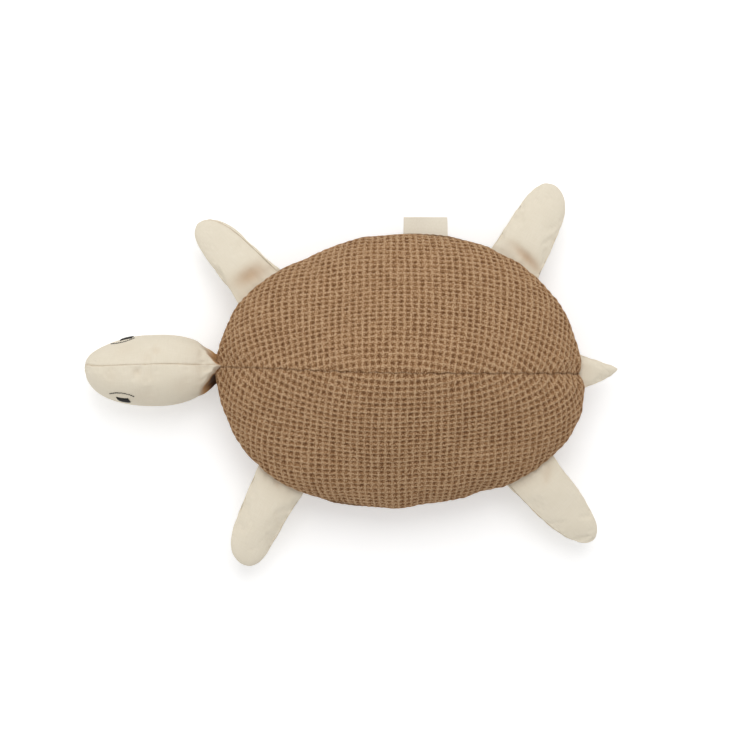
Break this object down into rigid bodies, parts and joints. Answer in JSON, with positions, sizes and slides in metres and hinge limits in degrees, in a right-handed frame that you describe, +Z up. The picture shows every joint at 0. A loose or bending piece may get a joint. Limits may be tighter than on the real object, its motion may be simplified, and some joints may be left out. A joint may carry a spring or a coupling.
{
  "type": "stuffed turtle cushion",
  "caption": "Stuffed turtle cushion with an oval waffle-cotton shell and belly, and a canvas head, flippers and tail sewn into the rim seam.",
  "frame": {"origin": "middle of the flat face under the belly that the cushion rests on", "axes": "+Z up, the head towards -X, the turtle's right side towards +Y"},
  "size_m": [0.5339, 0.3816, 0.1502],
  "materials": {
    "waffle_cotton": "matte waffle weave, light brown",
    "cream_canvas": "matte plain-weave cotton canvas, cream",
    "black_thread": "satin-stitched embroidery thread, near black",
    "label_ribbon": "matte woven ribbon, cream, bare",
    "fibre_filling": "loose polyester fibre, white"
  },
  "bodies": {
    "body": {"shell_panel_right": "waffle_cotton", "shell_panel_left": "waffle_cotton", "belly_panel": "waffle_cotton", "body_filling": "fibre_filling"},
    "head": {"head_panel_right": "cream_canvas", "head_panel_left": "cream_canvas", "head_filling": "fibre_filling", "eye_right": "black_thread", "eye_left": "black_thread", "eyelid_right": "black_thread", "eyelid_left": "black_thread"},
    "flipper_front_right": {"flipper_front_right_upper": "cream_canvas", "flipper_front_right_lower": "cream_canvas", "flipper_front_right_filling": "fibre_filling"},
    "flipper_front_left": {"flipper_front_left_upper": "cream_canvas", "flipper_front_left_lower": "cream_canvas", "flipper_front_left_filling": "fibre_filling"},
    "flipper_rear_right": {"flipper_rear_right_upper": "cream_canvas", "flipper_rear_right_lower": "cream_canvas", "flipper_rear_right_filling": "fibre_filling"},
    "flipper_rear_left": {"flipper_rear_left_upper": "cream_canvas", "flipper_rear_left_lower": "cream_canvas", "flipper_rear_left_filling": "fibre_filling"},
    "tail": {"tail_upper": "cream_canvas", "tail_lower": "cream_canvas", "tail_filling": "fibre_filling"},
    "label": {"side_label": "label_ribbon"}
  },
  "joints": [
    {"name": "head_nod", "type": "hinge", "parent": "body", "child": "head", "pos_m": [-0.193, 0.003, 0.046], "axis": [-0.0172, 0.9862, -0.1648], "range_deg": [-20, 30], "stiffness_Nm_per_rad": 1},
    {"name": "flipper_front_right_flap", "type": "hinge", "parent": "body", "child": "flipper_front_right", "pos_m": [-0.14459, 0.08795, 0.046], "axis": [0.7361, 0.6768, 0], "range_deg": [-50, 75], "stiffness_Nm_per_rad": 0.06},
    {"name": "flipper_front_left_flap", "type": "hinge", "parent": "body", "child": "flipper_front_left", "pos_m": [-0.11952, -0.10694, 0.046], "axis": [-0.8481, 0.5299, 0], "range_deg": [-50, 75], "stiffness_Nm_per_rad": 0.06},
    {"name": "flipper_rear_right_flap", "type": "hinge", "parent": "body", "child": "flipper_rear_right", "pos_m": [0.11446, 0.10999, 0.046], "axis": [0.8644, -0.5028, 0], "range_deg": [-50, 75], "stiffness_Nm_per_rad": 0.06},
    {"name": "flipper_rear_left_flap", "type": "hinge", "parent": "body", "child": "flipper_rear_left", "pos_m": [0.13035, -0.09961, 0.046], "axis": [-0.807, -0.5905, 0], "range_deg": [-50, 75], "stiffness_Nm_per_rad": 0.06},
    {"name": "tail_flap", "type": "hinge", "parent": "body", "child": "tail", "pos_m": [0.18635, 0, 0.046], "axis": [0, -1, 0], "range_deg": [-50, 75], "stiffness_Nm_per_rad": 0.02},
    {"name": "label_flap", "type": "hinge", "parent": "body", "child": "label", "pos_m": [0.02489, 0.1381, 0.046], "axis": [0.995, -0.1002, 0], "range_deg": [-60, 60], "stiffness_Nm_per_rad": 0.004}
  ]
}
